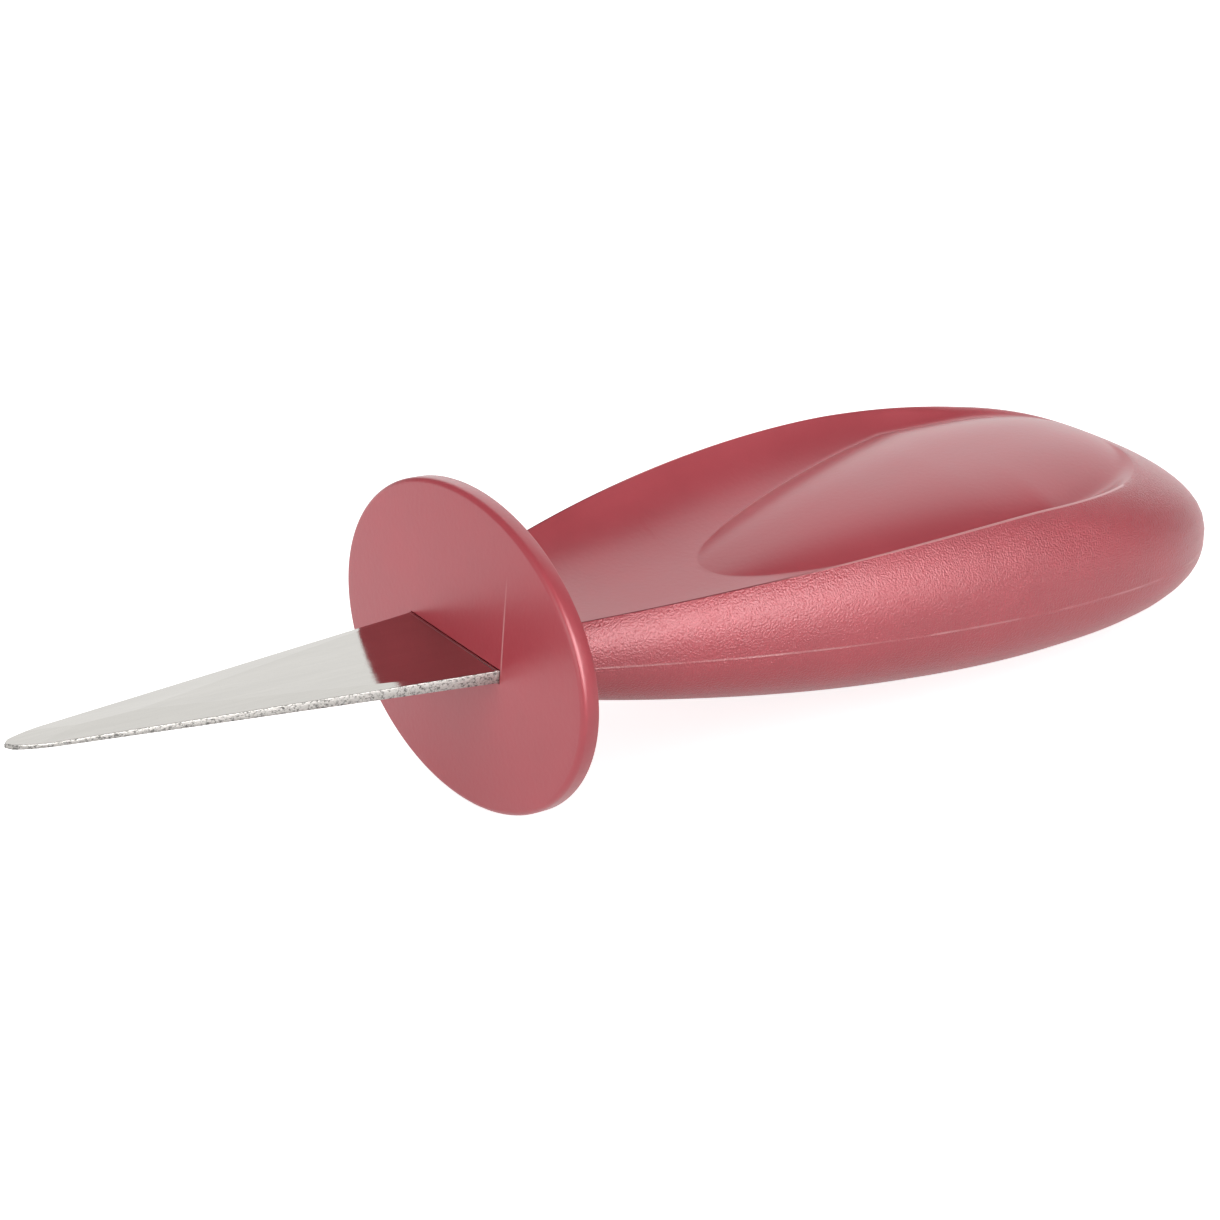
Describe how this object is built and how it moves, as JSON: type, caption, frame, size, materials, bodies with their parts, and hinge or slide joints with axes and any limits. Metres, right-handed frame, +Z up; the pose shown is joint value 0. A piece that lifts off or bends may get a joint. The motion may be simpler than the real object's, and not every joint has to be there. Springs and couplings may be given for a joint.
{
  "type": "oyster knife",
  "caption": "Oyster knife with a short stiff pointed blade, an oval hand guard and a broad moulded handle scooped for the thumb and swelling into a palm pad.",
  "frame": {"origin": "on the surface the knife lies on, under the middle of its length and width, lying as it comes to rest on the guard's rim and the belly of the handle with the scoop facing up", "axes": "+X from the blade's point towards the butt of the handle, +Y across the knife, +Z up"},
  "size_m": [0.1703, 0.0518, 0.0376],
  "materials": {
    "blade_steel": "satin ground stainless steel, brighter along the thinned edges",
    "raspberry_plastic": "raspberry red moulded plastic, satin on the guard, scoop and pad and finely grained round the flanks",
    "pin_steel": "plain round bar, hidden inside the handle"
  },
  "bodies": {
    "root": {"blade": "blade_steel", "guard": "raspberry_plastic", "handle_upper": "raspberry_plastic", "handle_lower": "raspberry_plastic", "tang_pins": "pin_steel"}
  },
  "joints": []
}
